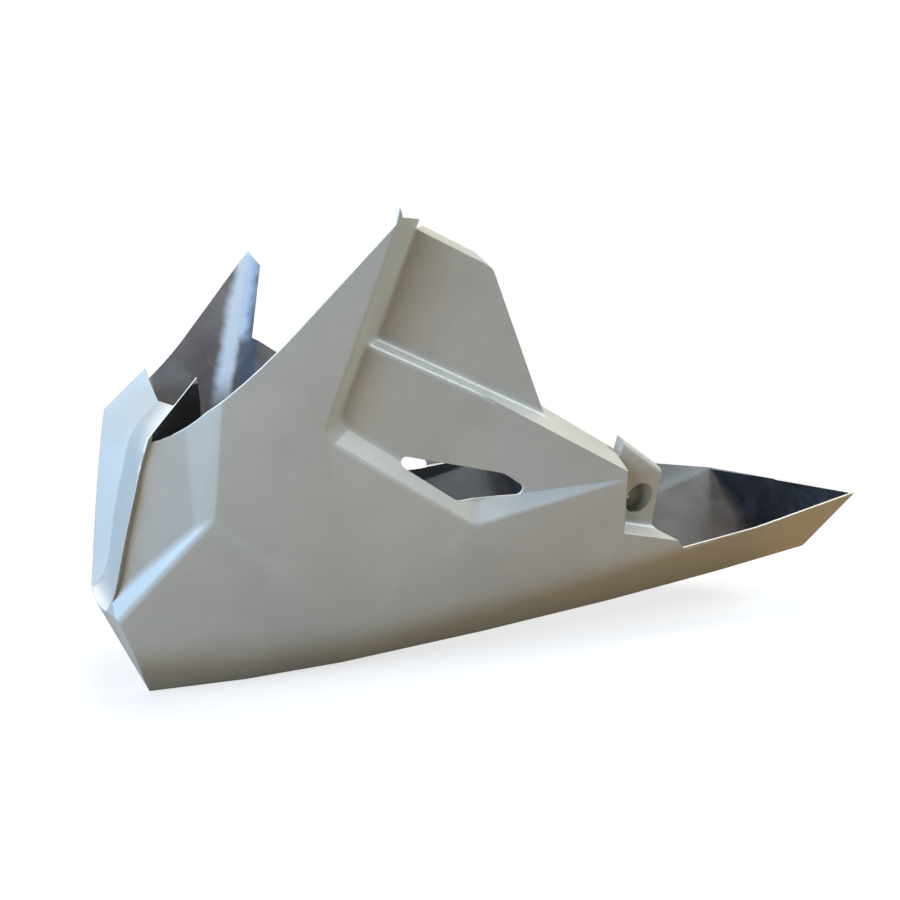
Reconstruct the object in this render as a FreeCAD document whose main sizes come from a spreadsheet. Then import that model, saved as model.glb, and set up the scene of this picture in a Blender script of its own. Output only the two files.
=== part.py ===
import FreeCAD, Part
import math
import os
from FreeCAD import Placement, Rotation, Vector

# Lower fairing of a motorcycle: one thin moulding, open at the top.
# X points to the front of the motorcycle, Y to its left, Z up.
# The origin is on the ground plane of the keel, midway along the moulding.

SIZES = [
    ("wall", 2.5, "laminate thickness"),
    ("middle_shift", 9.0, "brings the middle of the length to the origin"),
    # hull below the flanks
    ("keel_flat_end", 260.0, "the keel runs level in front of this x"),
    ("keel_rise_angle", 2.6, "slope of the keel where it leaves the level run, degrees"),
    ("keel_rise_radius", 7100.0, "radius of the keel line behind that"),
    ("hull_stations", 4.0, "sections of the hull behind its bow taper"),
    ("keel_half_width", 22.0, "half width of the flat under the hull"),
    ("bow_half_width", 8.0, "half width of that flat at the stem"),
    ("bow_taper_start", 170.0, "the flat starts to narrow in front of this x"),
    ("keel_edge_radius", 20.0, "rounding between the flat and the deadrise"),
    ("deadrise_angle", 41.5, "slope of the lower hull sides, degrees"),
    ("chine_radius", 90.0, "rounding between the lower hull and the flank"),
    ("chine_radius_tail", 24.0, "the same at the tail"),
    # flanks
    ("flank_half_width", 47.5, "half width of the flank planes at x = 0, z = 0"),
    ("flank_flare_angle", 22.5, "outward lean of the flanks, degrees"),
    ("flank_spread_angle", 1.5, "the flanks open towards the rear, degrees"),
    # bow
    ("stem_foot_x", 343.0, "front end of the keel"),
    ("stem_knee_x", 385.5, "foremost point of the stem"),
    ("stem_knee_z", 88.0, "height of the foremost point"),
    ("stem_lean_angle", 2.2, "the stem leans back above the knee, degrees"),
    ("bow_radius", 325.0, "plan radius of the bow"),
    # tail
    ("transom_x", 381.0, "distance of the transom's top edge behind the origin"),
    ("transom_z", 141.0, "height of that edge"),
    ("transom_rake_angle", 15.0, "the transom leans rearward going down, degrees"),
    # sunken panel behind each leading edge
    ("cheek_rear_x", 315.0, "rear end of the sunken cheek"),
    ("cheek_rear_depth", 4.5, "depth of the cheek there"),
    ("cheek_angle", 10.5, "the cheek turns inboard towards the front, degrees"),
    ("cheek_lean_angle", 2.0, "it turns inboard towards the top as well, degrees"),
    ("cheek_middle_z", 140.0, "height at which its rear end has that depth"),
    ("cheek_ramp_angle", 24.0, "slope of the ramp behind the cheek, degrees"),
    ("cheek_low_x", 376.0, "front end of the cheek's lower edge"),
    ("cheek_low_z", 83.5, "its height"),
    ("cheek_high_x", 300.0, "rear end of that edge"),
    ("cheek_high_z", 173.5, "its height"),
    ("cheek_draft_angle", 37.0, "slope of the band below the cheek, degrees"),
    ("cheek_ramp_radius", 20.0, "rounding between the cheek and its ramp"),
    ("cheek_fillet", 9.0, "rounding at the foot of the band"),
    ("cheek_edge_radius", 8.0, "rounding between the cheek's sides and the flank"),
    # recesses in the flank
    ("strip_head_x", 189.5, "upper end of the recess's front edge"),
    ("strip_head_z", 388.0, "its height"),
    ("strip_foot_x", 226.0, "front lower corner of the recess"),
    ("strip_foot_z", 229.0, "its height"),
    ("strip_draft_angle", 43.0, "slope of the recess's front and lower walls, degrees"),
    ("scoop_low_x", 75.0, "lowest corner of the recess"),
    ("scoop_low_z", 141.0, "its height"),
    ("scoop_tail_x", -90.0, "rear end of the recess's lower edge"),
    ("scoop_tail_z", 179.0, "its height"),
    ("scoop_corner_radius", 26.0, "rounding of the recess's lower corners"),
    ("scoop_depth", 16.0, "depth of the lower panel"),
    ("scoop_ramp_start", 60.0, "the lower panel rises to the flank behind this x"),
    ("scoop_ramp_end", -80.0, "it meets the flank at this x"),
    ("panel_depth", 30.0, "depth of the upper panel and of the boss face"),
    ("shelf_front_x", 182.5, "front end of the shelf's outer edge"),
    ("shelf_front_z", 298.0, "its height"),
    ("shelf_rear_x", -75.0, "rear end of the shelf's outer edge"),
    ("shelf_rear_z", 185.0, "its height"),
    ("shelf_rear_depth", 2.0, "the outer edge is sunk by this there"),
    ("shelf_slope_angle", 42.0, "the shelf rises inboard, degrees"),
    ("shelf_twist_x", 12.0, "the shelf's free edge drops behind this x"),
    ("shelf_rear_slope_angle", 30.5, "slope of the shelf at its rear end, degrees"),
    ("mouth_depth", 43.0, "depth of the free inner edges inside the flank"),
    ("recess_fillet", 7.0, "rounding inside the recesses"),
    ("recess_edge_radius", 6.0, "rounding between the flank and the recess's walls"),
    ("shelf_edge_radius", 5.0, "rounding of the shelf's outer edge"),
    # upper panel, on the left only
    ("lip_front_x", 164.0, "front end of the upper panel's top edge"),
    ("lip_front_z", 391.0, "its height"),
    ("lip_rear_x", 90.0, "rear end of that edge"),
    ("lip_rear_z", 363.5, "its height"),
    ("lip_slope_angle", 37.0, "the lip rises inboard, degrees"),
    ("panel_foot_x", 8.0, "foot of the upper panel's rear edge"),
    ("panel_foot_z", 236.0, "its height"),
    ("panel_corner_radius", 10.0, "rounding of the panel's upper rear corner"),
    # slot in the lower panel
    ("slot_front_x", 172.0, "front tip of the slot"),
    ("slot_front_z", 214.0, "its height"),
    ("slot_low_x", 90.0, "lowest corner of the slot"),
    ("slot_low_z", 164.0, "its height"),
    ("slot_rear_x", 14.0, "rear tip of the slot"),
    ("slot_rear_z", 167.0, "its height"),
    ("slot_high_x", 46.0, "upper corner of the slot"),
    ("slot_high_z", 187.0, "its height"),
    ("slot_tip_radius", 5.0, "rounding of the slot's tips"),
    ("slot_low_radius", 22.0, "rounding of the slot's lowest corner"),
    ("slot_high_radius", 36.0, "rounding of the slot's upper corner"),
    # notch with the rear bolt boss
    ("notch_high_x", -75.0, "upper end of the notch's front edge"),
    ("notch_high_z", 185.0, "its height"),
    ("notch_low_x", -91.0, "lower end of that edge"),
    ("notch_low_z", 119.0, "its height"),
    ("notch_draft_angle", 12.0, "slope of the notch's front wall, degrees"),
    ("ledge_rear_x", -160.0, "rear end of the ledge under the notch"),
    ("ledge_rear_z", 105.0, "its height"),
    ("ledge_slope_angle", 14.0, "the ledge rises inboard, degrees"),
    ("boss_front_x", -86.0, "front end of the boss's top"),
    ("boss_top_x", -91.0, "a point of the boss's upper edge"),
    ("boss_top_z", 206.0, "its height"),
    ("boss_top_slope_angle", 24.0, "the boss's top rises inboard, degrees"),
    ("boss_edge_radius", 5.0, "rounding between the boss's top and its face"),
    ("notch_fillet", 6.0, "rounding between the ledge and the boss's face"),
    ("boss_x", -122.0, "bolt axis"),
    ("boss_z", 149.0, "bolt axis"),
    ("cup_radius", 15.5, "inner radius of the bolt cup"),
    ("cup_depth", 20.0, "depth of the cup below the boss face"),
    ("seat_thickness", 4.0, "thickness of the cup's floor"),
    ("bolt_radius", 4.3, "clearance hole for an M8 bolt"),
    # trimmed edges, seen from the side
    ("brow_x", 360.0, "upper end of the leading edge"),
    ("brow_z", 229.0, "its height"),
    ("crest_x", 316.5, "end of the front rim's first curve"),
    ("crest_z", 252.5, "its height"),
    ("crest_sag", 4.5, "depth of that curve"),
    ("sweep_x", 253.0, "end of the front rim's second curve"),
    ("sweep_z", 315.0, "its height"),
    ("sweep_sag", 2.4, "depth of that curve"),
    ("peak_x", 190.0, "highest point of the fairing"),
    ("peak_z", 400.0, "its height"),
    ("peak_front_x", 190.7, "the front rim turns up to the peak here"),
    ("peak_front_z", 389.0, "its height"),
    ("peak_rear_x", 186.0, "the rim behind the peak turns level here"),
    ("peak_rear_z", 394.0, "its height"),
    ("lip_head_x", 160.0, "front end of the lip's free edge"),
    ("lip_head_z", 397.0, "its height"),
    ("boss_head_x", -140.5, "upper end of the boss's rear edge"),
    ("boss_head_z", 177.5, "its height"),
    ("boss_foot_x", -147.0, "lower end of that edge"),
    ("boss_foot_z", 118.0, "its height"),
    ("sill_front_x", -171.0, "front end of the rear rim"),
    ("sill_front_z", 95.5, "its height"),
    ("sill_mid_x", -263.0, "a point on the rear rim"),
    ("sill_mid_z", 110.0, "its height"),
    ("right_brow_rise", 6.0, "the right side's leading edge ends this much higher"),
    ("right_rim_ahead", 10.0, "the right side's front rim runs this far ahead of the left's"),
    ("right_head_x", 182.5, "upper end of the right side's trimmed strip"),
    ("right_head_z", 384.0, "its height"),
    ("right_foot_x", 201.5, "lower end of that strip"),
    ("right_foot_z", 307.0, "its height"),
    ("right_shelf_x", 181.0, "front end of the right side's lower rim"),
    ("right_shelf_z", 293.0, "its height"),
    ("right_shelf_rise", 1.5, "that rim ends this far above the shelf's outer edge"),
    ("right_sill_x", -296.0, "a point on the right side's rear rim"),
    ("right_sill_z", 151.0, "its height"),
    # wheel channel in the bow
    ("ear_tip_x", 318.0, "tip of the ear beside the channel"),
    ("ear_tip_z", 278.0, "its height"),
]

# Levels of the wheel channel, from its sill to above the ears:
# height, x of its rear wall, half width there, and how fast its sides open.
CHANNEL_LEVELS = [
    ("sill", 84.0, 388.0, 46.0, 1.6),
    ("foot", 104.0, 368.0, 50.0, 1.5),
    ("low", 132.0, 361.0, 60.0, 1.38),
    ("middle", 187.0, 347.0, 78.0, 1.22),
    ("high", 227.0, 331.0, 87.0, 1.1),
    ("top", 246.0, 313.0, 90.0, 0.86),
    ("ears", 285.0, 288.0, 91.0, 0.84),
]

doc = FreeCAD.newDocument("lower_fairing")
sheet = doc.addObject("Spreadsheet::Sheet", "Sizes")
rows = list(SIZES)
for level_name, level_z, level_x, level_half, level_rate in CHANNEL_LEVELS:
    rows.append(("channel_%s_z" % level_name, level_z, "height of the channel's level"))
    rows.append(("channel_%s_x" % level_name, level_x, "rear wall of the channel there"))
    rows.append(("channel_%s_half" % level_name, level_half, "half width of the rear wall there"))
    rows.append(("channel_%s_rate" % level_name, level_rate, "opening of the channel's sides there"))
for row, (alias, value, note) in enumerate(rows, start=1):
    sheet.set("A%d" % row, alias)
    sheet.set("B%d" % row, str(value))
    sheet.set("C%d" % row, note)
    sheet.setAlias("B%d" % row, alias)
doc.recompute()


def size(alias):
    """A driving size, read from the sheet."""
    return float(sheet.get(alias))


def angle(alias):
    """A driving angle of the sheet, in radians."""
    return math.radians(size(alias))


WALL = size("wall")
REACH = 1200.0
CLEAR = 40.0
EDGE_TOLERANCE = 0.001
FLARE = math.tan(angle("flank_flare_angle"))
SPREAD = math.tan(angle("flank_spread_angle"))
DEADRISE = math.tan(angle("deadrise_angle"))


# Plane geometry

def crossing(point_a, direction_a, point_b, direction_b):
    """Where two lines of a plane meet."""
    cross = direction_a[0] * direction_b[1] - direction_a[1] * direction_b[0]
    gap = (point_b[0] - point_a[0], point_b[1] - point_a[1])
    along = (gap[0] * direction_b[1] - gap[1] * direction_b[0]) / cross
    return (point_a[0] + along * direction_a[0], point_a[1] + along * direction_a[1])


def rounded_wire(corners, radii, place):
    """A closed wire through plane corners, each rounded by its radius, placed in space."""
    count = len(corners)
    starts, middles, ends = [], [], []
    for index in range(count):
        corner = Vector(*corners[index], 0)
        before = (Vector(*corners[index - 1], 0) - corner).normalize()
        after = (Vector(*corners[(index + 1) % count], 0) - corner).normalize()
        half = before.getAngle(after) / 2
        radius = radii[index]
        if radius > 0:
            reach = radius / math.tan(half)
            bisector = (before + after).normalize()
            starts.append(corner + before * reach)
            middles.append(corner + bisector * (radius / math.sin(half) - radius))
            ends.append(corner + after * reach)
        else:
            starts.append(corner)
            middles.append(None)
            ends.append(corner)
    edges = []
    for index in range(count):
        if middles[index] is not None:
            arc_points = [place(p) for p in (starts[index], middles[index], ends[index])]
            edges.append(Part.Arc(*arc_points).toShape())
        following = starts[(index + 1) % count]
        edges.append(Part.makeLine(place(ends[index]), place(following)))
    return Part.Wire(edges)


def half_space(point, normal):
    """A large block on the side of a plane that its normal points to."""
    block = Part.makeBox(2 * REACH, 2 * REACH, REACH, Vector(-REACH, -REACH, 0))
    block.Placement = Placement(point, Rotation(Vector(0, 0, 1), normal))
    return block


def side_prism(corners, y_low, y_high):
    """A prism with an outline seen from the side, x and z, between two distances y."""
    points = [Vector(x, y_low, z) for x, z in corners]
    face = Part.Face(Part.makePolygon(points + points[:1]))
    return face.extrude(Vector(0, y_high - y_low, 0))


def common(first, *others):
    """What all the solids share."""
    for other in others:
        first = first.common(other)
    return first


def show(name, shape):
    """Puts a worked shape in the document."""
    feature = doc.addObject("Part::Feature", name)
    feature.Shape = shape
    return feature


def joined(kind, name, members):
    """A fusion or intersection of several objects of the document."""
    feature = doc.addObject("Part::Multi" + kind, name)
    feature.Shapes = members
    return feature


def cut(name, base, tool):
    """One object of the document with another taken away."""
    feature = doc.addObject("Part::Cut", name)
    feature.Base = base
    feature.Tool = tool
    return feature


def mirror_image(name, source):
    """The mirror image of an object of the document, on the other side of the mid-plane."""
    feature = doc.addObject("Part::Mirroring", name)
    feature.Source = source
    feature.Normal = Vector(0, 1, 0)
    return feature


# The flank plane carries the recesses. Its local axes run rearward, up the slope and outward.

FLANK_OUT = Vector(SPREAD, 1, -FLARE).normalize()
FLANK_REAR = Vector(-1, SPREAD, 0).normalize()
FLANK_UP = FLANK_OUT.cross(FLANK_REAR)
FLANK_ORIGIN = Vector(0, size("flank_half_width"), 0)
FLANK_LEAN = math.sqrt(1 + SPREAD ** 2 + FLARE ** 2)


def on_flank(x, z, depth=0.0):
    """The point of the left flank, sunk by a depth, that is seen at x and z from the side."""
    return Vector(x, size("flank_half_width") - SPREAD * x + FLARE * z - depth * FLANK_LEAN, z)


# Hull

def keel_height(x):
    """Height of the keel at a distance along the fairing."""
    behind = max(0.0, size("keel_flat_end") - x)
    return behind * math.tan(angle("keel_rise_angle")) + behind ** 2 / (2 * size("keel_rise_radius"))


def keel_flat(x):
    """Half width of the flat under the hull."""
    share = (x - size("bow_taper_start")) / (size("stem_foot_x") - size("bow_taper_start"))
    share = min(1.0, max(0.0, share))
    return size("keel_half_width") + share * (size("bow_half_width") - size("keel_half_width"))


def chine_rounding(x):
    """Radius between the lower hull and the flank."""
    share = max(0.0, -x / size("transom_x"))
    return size("chine_radius") + share * (size("chine_radius_tail") - size("chine_radius"))


HULL_TOP = size("peak_z") + CLEAR


def hull_section(x, inset):
    """The hull's cross-section at a distance along the fairing, drawn in by an inset."""
    bottom = keel_height(x) + inset
    deadrise_start = (keel_flat(x), keel_height(x) + inset / math.cos(angle("deadrise_angle")))
    flank_start = (size("flank_half_width") - SPREAD * x, 0.0)
    flank_start = (flank_start[0] - inset / math.cos(angle("flank_flare_angle")), 0.0)
    deadrise_run = (1.0, DEADRISE)
    flank_run = (FLARE, 1.0)
    level_run = (1.0, 0.0)
    keel_corner = crossing((0.0, bottom), level_run, deadrise_start, deadrise_run)
    chine_corner = crossing(deadrise_start, deadrise_run, flank_start, flank_run)
    top_corner = crossing(flank_start, flank_run, (0.0, HULL_TOP), level_run)
    left = [keel_corner, chine_corner, top_corner]
    corners = left + [(-y, z) for y, z in reversed(left)]
    radii = [size("keel_edge_radius") - inset, chine_rounding(x) - inset, 0]
    return rounded_wire(corners, radii + radii[::-1], lambda point: Vector(x, point.x, point.y))


def flat_faced(solid):
    """The same solid with each flat face made a true plane, and flush faces joined."""
    faces = []
    for face in solid.Faces:
        plane = face.findPlane(EDGE_TOLERANCE / 10)
        faces.append(face if plane is None else Part.Face(plane, face.OuterWire))
    shell = Part.Shell(faces)
    shell.sewShape()
    return Part.Solid(shell).removeSplitter()


def hull_block(inset):
    """The hull as a solid, tall and overlong, before it is trimmed."""
    first = -size("transom_x") - CLEAR
    last = size("stem_knee_x") + CLEAR
    taper, level = size("bow_taper_start"), size("keel_flat_end")
    count = int(size("hull_stations"))
    stations = [first + (taper - first) * index / count for index in range(count)]
    stations += [taper, level, size("stem_foot_x"), last]
    return flat_faced(Part.makeLoft([hull_section(x, inset) for x in stations], True, True))


def stem_x(z, inset):
    """Where the bow's middle line lies at a height, drawn in by an inset."""
    knee_x, knee_z = size("stem_knee_x"), size("stem_knee_z")
    rake = math.atan2(knee_x - size("stem_foot_x"), knee_z)
    lean = angle("stem_lean_angle")
    if z < knee_z:
        return knee_x - (knee_z - z) * math.tan(rake) - inset / math.cos(rake)
    return knee_x - (z - knee_z) * math.tan(lean) - inset / math.cos(lean)


def bow_block(inset):
    """All that lies behind the bow's surface."""
    rake = math.atan2(size("stem_knee_x") - size("stem_foot_x"), size("stem_knee_z"))
    lean = angle("stem_lean_angle")
    turn = (1 / math.cos(rake) - 1 / math.cos(lean)) / (math.tan(rake) + math.tan(lean))
    knee_z = size("stem_knee_z") + inset * turn
    half = size("bow_radius") * 0.7
    bulge = size("bow_radius") - math.sqrt(size("bow_radius") ** 2 - half ** 2)

    def level(z, x):
        """A closed outline of the block at a height."""
        left, middle, right = Vector(x - bulge, half, z), Vector(x, 0, z), Vector(x - bulge, -half, z)
        back_left, back_right = Vector(-REACH, half, z), Vector(-REACH, -half, z)
        arc = Part.Arc(left, middle, right).toShape()
        sides = [(right, back_right), (back_right, back_left), (back_left, left)]
        return Part.Wire([arc] + [Part.makeLine(a, b) for a, b in sides])

    low, high = -CLEAR, HULL_TOP + CLEAR
    knee = stem_x(size("stem_knee_z") - 0.001, 0) - inset / math.cos(rake)
    knee = knee + (knee_z - size("stem_knee_z")) * math.tan(rake)
    foot = knee - (knee_z - low) * math.tan(rake)
    head = knee - (high - knee_z) * math.tan(lean)
    lower = Part.makeLoft([level(low, foot), level(knee_z, knee)], True, True)
    upper = Part.makeLoft([level(knee_z, knee), level(high, head)], True, True)
    return lower.fuse(upper).removeSplitter()


def tail_block(inset):
    """All that lies in front of the transom."""
    rake = angle("transom_rake_angle")
    point = Vector(-size("transom_x") + inset / math.cos(rake), 0, size("transom_z"))
    return half_space(point, Vector(math.cos(rake), 0, -math.sin(rake)))


def hull_solid(inset):
    """The closed hull, drawn in by an inset."""
    return common(hull_block(inset), bow_block(inset), tail_block(inset))


# Recesses of the flank

def wall_plane(first, second, into, draft):
    """A point and the normal of a recess's wall through two points seen from the side.

    The normal points into the recess, to the side where a third point lies.
    """
    start, end, inner = on_flank(*first), on_flank(*second), on_flank(*into)
    across = FLANK_OUT.cross((end - start).normalize())
    if across.dot(inner - start) < 0:
        across = across * -1
    return start, across * math.cos(draft) + FLANK_OUT * math.sin(draft)


def strip_plane():
    """A point of the recess's front wall and the direction into the recess."""
    head = (size("strip_head_x"), size("strip_head_z"))
    foot = (size("strip_foot_x"), size("strip_foot_z"))
    return wall_plane(foot, head, (0, HULL_TOP), angle("strip_draft_angle"))


def sloping_plane(front, rear, slope):
    """A point and the upward normal of a plane along an edge, rising inboard by a slope."""
    inboard = Vector(0, -math.cos(slope), math.sin(slope))
    normal = inboard.cross(rear - front).normalize()
    if normal.z < 0:
        normal = normal * -1
    return front, normal


def shelf_edge():
    """The two ends of the shelf's outer edge."""
    front = on_flank(size("shelf_front_x"), size("shelf_front_z"), size("scoop_depth"))
    rear = on_flank(size("shelf_rear_x"), size("shelf_rear_z"), size("shelf_rear_depth"))
    return front, rear


def shelf_plane():
    """A point of the shelf's front part and its upward normal."""
    return sloping_plane(*shelf_edge(), angle("shelf_slope_angle"))


def twist_plane():
    """A point of the shelf's rear inner part and its upward normal."""
    front, rear = shelf_edge()
    rise = math.tan(angle("shelf_slope_angle"))
    share = (front.x - size("shelf_twist_x")) / (front.x - rear.x)
    outer = front + (rear - front) * share
    edge_depth = size("scoop_depth") + share * (size("shelf_rear_depth") - size("scoop_depth"))
    width = (size("mouth_depth") - edge_depth) * FLANK_LEAN / (1 + FLARE * rise)
    inner = outer + Vector(0, -width, width * rise)
    return sloping_plane(inner, rear, angle("shelf_rear_slope_angle"))


def boss_top_plane():
    """A point of the boss's top and its upward normal."""
    front = on_flank(size("boss_top_x"), size("boss_top_z"), size("panel_depth"))
    rear = on_flank(size("boss_head_x"), size("boss_head_z"), size("panel_depth"))
    return sloping_plane(front, rear, angle("boss_top_slope_angle"))


def raised(plane, grow):
    """All that lies above a plane, grown by a distance."""
    point, normal = plane
    return half_space(point - normal * grow, normal)


def above_shelf(grow):
    """All that lies above the left shelf and the boss's top, grown by a distance."""
    front = raised(shelf_plane(), grow).fuse(raised(twist_plane(), grow))
    front = common(front, left_block(size("boss_front_x") - grow))
    rear = raised(boss_top_plane(), grow)
    behind = Part.makeBox(REACH, REACH, REACH, Vector(size("boss_front_x") - REACH, 0, 0))
    return front.fuse(common(rear, behind)).removeSplitter()


def lip_plane():
    """A point of the upper panel's top lip and its upward normal."""
    front = on_flank(size("lip_front_x"), size("lip_front_z"), size("panel_depth"))
    rear = on_flank(size("lip_rear_x"), size("lip_rear_z"), size("panel_depth"))
    return sloping_plane(front, rear, angle("lip_slope_angle"))


def sunk_plane(alias):
    """A point and the normal of the left flank's plane, sunk by a size."""
    return on_flank(0, 0, size(alias)), FLANK_OUT


def folds(solid, first, second, grow):
    """The edges of a solid that lie in two planes, each grown by a distance."""
    found = []
    for edge in solid.Edges:
        start, end = edge.ParameterRange
        points = [edge.valueAt(start + (end - start) * share) for share in (0.1, 0.5, 0.9)]
        offsets = [(p - point).dot(normal) + grow for point, normal in (first, second) for p in points]
        if max(map(abs, offsets)) < EDGE_TOLERANCE:
            found.append(edge)
    return found


def softened(solid, first, second, radius, grow):
    """A solid with the fold between two planes rounded, on the left and on the right."""
    found = folds(solid, first, second, grow)
    right = [(Vector(p.x, -p.y, p.z), Vector(n.x, -n.y, n.z)) for p, n in (first, second)]
    return solid.makeFillet(radius, found + folds(solid, *right, grow))


def left_block(rear_x):
    """A large block on the left of the mid-plane, in front of a distance x."""
    return Part.makeBox(REACH, REACH, REACH, Vector(rear_x, 0, 0))


def panel_tool(grow):
    """What the upper panel's recess takes from the left flank."""
    behind_strip = raised(strip_plane(), grow)
    outboard = half_space(on_flank(0, 0, size("panel_depth") + grow), FLANK_OUT)
    return common(left_block(size("sill_front_x") - grow), behind_strip, above_shelf(grow), outboard)


def scoop_tool(grow):
    """What the lower panel's recess takes from the left flank."""
    foot = (size("strip_foot_x"), size("strip_foot_z"))
    low = (size("scoop_low_x"), size("scoop_low_z"))
    tail = (size("scoop_tail_x"), size("scoop_tail_z"))
    middle = (size("slot_high_x"), size("slot_high_z"))
    draft = angle("strip_draft_angle")
    walls = [strip_plane(), wall_plane(foot, low, middle, draft), wall_plane(low, tail, middle, draft)]
    sides = common(*[raised(wall, grow) for wall in walls])
    corners = folds(sides, walls[0], walls[1], grow) + folds(sides, walls[1], walls[2], grow)
    sides = sides.makeFillet(size("scoop_corner_radius") + grow, corners)
    floor = on_flank(size("scoop_ramp_start"), 0, size("scoop_depth"))
    turn = math.atan2(size("scoop_depth"), size("scoop_ramp_start") - size("scoop_ramp_end"))
    ramp_out = Rotation(FLANK_UP, -math.degrees(turn)).multVec(FLANK_OUT)
    return common(sides, raised((floor, FLANK_OUT), grow), raised((floor, ramp_out), grow))


def cheek_planes():
    """The planes of the sunken cheek behind the leading edge: its floor, its ramp and its band."""
    pivot = on_flank(size("cheek_rear_x"), size("cheek_middle_z"), size("cheek_rear_depth"))
    leaning = Rotation(FLANK_REAR, -size("cheek_lean_angle")).multVec(FLANK_OUT)
    floor = (pivot, Rotation(FLANK_UP, -size("cheek_angle")).multVec(leaning))
    ramp = (pivot, Rotation(FLANK_UP, -size("cheek_ramp_angle")).multVec(FLANK_OUT))
    low = (size("cheek_low_x"), size("cheek_low_z"))
    high = (size("cheek_high_x"), size("cheek_high_z"))
    band = wall_plane(low, high, (low[0], high[1]), angle("cheek_draft_angle"))
    return floor, ramp, band


def cheek_tool(grow):
    """What the cheek takes from the left flank."""
    floor, ramp, band = cheek_planes()
    tool = common(*[raised(plane, grow) for plane in (floor, ramp, band)])
    tool = tool.makeFillet(size("cheek_ramp_radius") + grow, folds(tool, floor, ramp, grow))
    foot = folds(tool, band, floor, grow) + folds(tool, band, ramp, grow)
    return tool.makeFillet(size("cheek_fillet") + grow, foot)


def recess_tool(grow):
    """Both recesses of the left flank with their rounded folds."""
    strip, shelf = strip_plane(), shelf_plane()
    scoop_floor, panel_floor = sunk_plane("scoop_depth"), sunk_plane("panel_depth")
    recess = panel_tool(grow).fuse(scoop_tool(grow)).removeSplitter()
    crease = folds(recess, shelf, scoop_floor, grow)
    recess = recess.makeFillet(size("shelf_edge_radius") - grow, crease)
    corner = folds(recess, scoop_floor, strip, grow)
    recess = recess.makeFillet(size("recess_fillet") + grow, corner)
    corners = folds(recess, panel_floor, strip, grow) + folds(recess, panel_floor, shelf, grow)
    corners += folds(recess, shelf, strip, grow)
    return recess.makeFillet(size("recess_fillet") + grow, corners)


def notch_planes():
    """The planes of the notch's front wall and of the ledge under it."""
    high = (size("notch_high_x"), size("notch_high_z"))
    low = (size("notch_low_x"), size("notch_low_z"))
    boss = (size("boss_x"), size("boss_z"))
    step = wall_plane(low, high, boss, angle("notch_draft_angle"))
    ledge_rear = on_flank(size("ledge_rear_x"), size("ledge_rear_z"))
    ledge = sloping_plane(on_flank(*low), ledge_rear, angle("ledge_slope_angle"))
    return step, ledge


def notch_tool(grow):
    """What the notch round the rear boss takes from the left flank."""
    planes = [*notch_planes(), sunk_plane("panel_depth")]
    return common(left_block(size("sill_front_x") - grow), *[raised(plane, grow) for plane in planes])


def panel_rear_plane():
    """The plane behind the upper panel's rear edge, seen edge-on from the side."""
    head = Vector(size("lip_rear_x"), 0, size("lip_rear_z"))
    foot = Vector(size("panel_foot_x"), 0, size("panel_foot_z"))
    return foot, (head - foot).cross(Vector(0, 1, 0)).normalize()


def deck_tool(grow):
    """What lies above the shelf behind the upper panel, where the hull is lower."""
    left = left_block(size("sill_front_x") - grow)
    return common(left, above_shelf(grow), raised(panel_rear_plane(), grow))


def lip_tool(grow):
    """What lies above the upper panel's lip."""
    behind_strip = raised(strip_plane(), 0.0)
    return common(left_block(size("sill_front_x")), behind_strip, raised(lip_plane(), grow))


def slot_tool():
    """The slot in the lower panel."""
    names = ["front", "low", "rear", "high"]
    corners = [(size("slot_%s_x" % name), size("slot_%s_z" % name)) for name in names]
    tip = size("slot_tip_radius")
    radii = [tip, size("slot_low_radius"), tip, size("slot_high_radius")]
    wire = rounded_wire(corners, radii, lambda point: Vector(point.x, CLEAR, point.y))
    return Part.Face(wire).extrude(Vector(0, REACH, 0))


def cup_cylinder(name, radius, bottom_y):
    """A cylinder on the bolt axis of the left boss, from a bottom out to the flank."""
    cylinder = doc.addObject("Part::Cylinder", name)
    cylinder.setExpression("Radius", radius)
    cylinder.Placement = Placement(Vector(), Rotation(Vector(0, 0, 1), Vector(0, 1, 0)))
    cylinder.setExpression("Placement.Base.x", "Sizes.boss_x")
    cylinder.setExpression("Placement.Base.y", bottom_y)
    cylinder.setExpression("Placement.Base.z", "Sizes.boss_z")
    cylinder.setExpression("Height", "2 * Sizes.cup_depth")
    return cylinder


# Wheel channel

def channel_tool(grow):
    """The channel in the bow that gives the front wheel room, grown by a distance."""
    front = size("stem_knee_x") + CLEAR
    wires = []
    for level_name in [level[0] for level in CHANNEL_LEVELS]:
        z = size("channel_%s_z" % level_name)
        rate = size("channel_%s_rate" % level_name)
        back = size("channel_%s_x" % level_name) - grow
        half = size("channel_%s_half" % level_name) + grow * (math.sqrt(1 + rate ** 2) - rate)
        wide = half + rate * (front - back)
        corners = [(back, half), (back, -half), (front, -wide), (front, wide)]
        points = [Vector(x, y, z) for x, y in corners]
        wires.append(Part.makePolygon(points + points[:1]))
    return Part.makeLoft(wires, True, False)


def brow_height(right):
    """Height of a leading edge's upper end."""
    return size("brow_z") + (size("right_brow_rise") if right else 0.0)


def ear_outline(right):
    """Side view of what is kept of the channel's walls."""
    brow = (size("brow_x"), brow_height(right))
    tip = (size("ear_tip_x"), size("ear_tip_z"))
    back = (size("channel_top_x") - WALL, size("channel_top_z"))
    front_run = (brow[0] - tip[0], brow[1] - tip[1])
    ahead = (brow[0] + 3 * front_run[0], brow[1] + 3 * front_run[1])
    rear_x = back[0] - CLEAR
    return [ahead, tip, back, (rear_x, back[1]), (rear_x, 0.0), (ahead[0], 0.0)]


# Trimmed rims

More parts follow.
